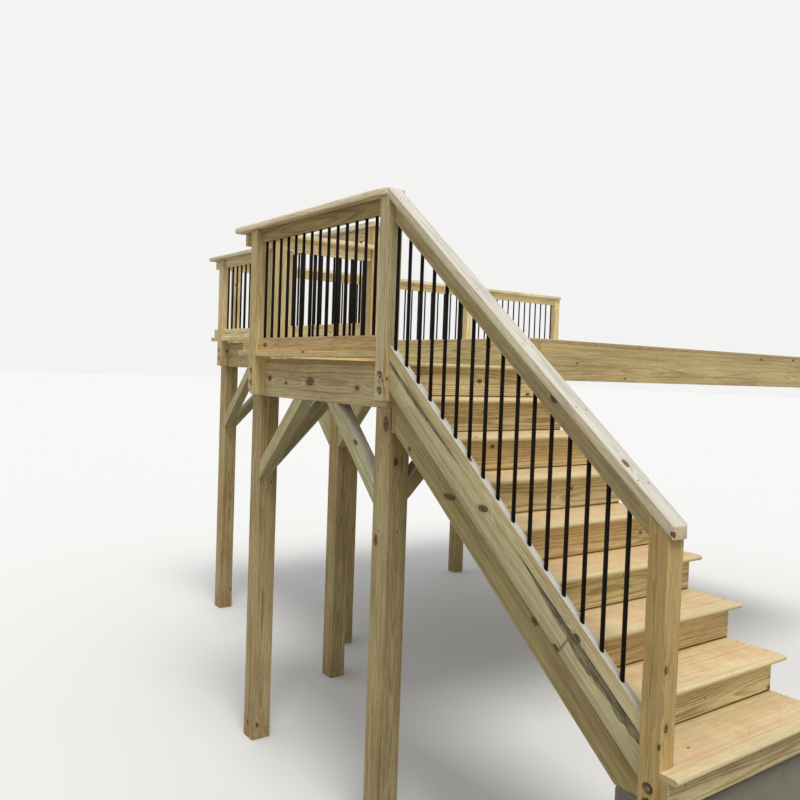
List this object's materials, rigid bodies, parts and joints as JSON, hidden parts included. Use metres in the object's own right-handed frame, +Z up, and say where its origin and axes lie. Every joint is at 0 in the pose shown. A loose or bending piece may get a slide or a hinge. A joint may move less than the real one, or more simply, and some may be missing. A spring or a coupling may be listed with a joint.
{
  "type": "wooden deck stairs",
  "caption": "Straight outdoor timber stairs with a railing of round black balusters, climbing to a railed landing and the corner of a raised deck on square posts with knee braces.",
  "frame": {"origin": "centre of the foot of the support post beside the stair, at the lowest ground level", "axes": "+X down the stair, +Y from the railing across the treads, +Z up"},
  "size_m": [6.9105, 6.5405, 3.858],
  "materials": {
    "lumber": "pressure-treated pine, planed and unpainted",
    "baluster": "black powder coat, satin",
    "concrete": null
  },
  "bodies": {
    "root": {"bottom_tread": "lumber", "treads": "lumber", "bottom_riser": "lumber", "risers": "lumber", "stringer_outer": "lumber", "stringer_middle": "lumber", "stringer_inner": "lumber", "skirt_board": "lumber", "hanger_board": "lumber", "stair_footing": "concrete", "bottom_newel": "lumber", "top_newel": "lumber", "stair_cap": "lumber", "stair_top_rail": "lumber", "stair_bottom_rail": "lumber", "stair_balusters": "baluster", "landing_corner_post": "lumber", "landing_cap": "lumber", "landing_top_rail": "lumber", "landing_bottom_rail": "lumber", "landing_foot_board": "lumber", "landing_balusters": "baluster", "side_posts": "lumber", "side_cap": "lumber", "side_guard": "lumber", "landing_rims": "lumber", "landing_joists": "lumber", "landing_decking": "lumber", "deck_step_riser": "lumber", "deck_rims": "lumber", "deck_beams": "lumber", "deck_joists": "lumber", "deck_decking": "lumber", "front_guard_post": "lumber", "front_cap": "lumber", "front_guard": "lumber", "far_guard_posts": "lumber", "far_cap": "lumber", "far_guard": "lumber", "landing_columns": "lumber", "deck_columns": "lumber", "landing_braces": "lumber", "deck_braces": "lumber"}
  },
  "joints": []
}
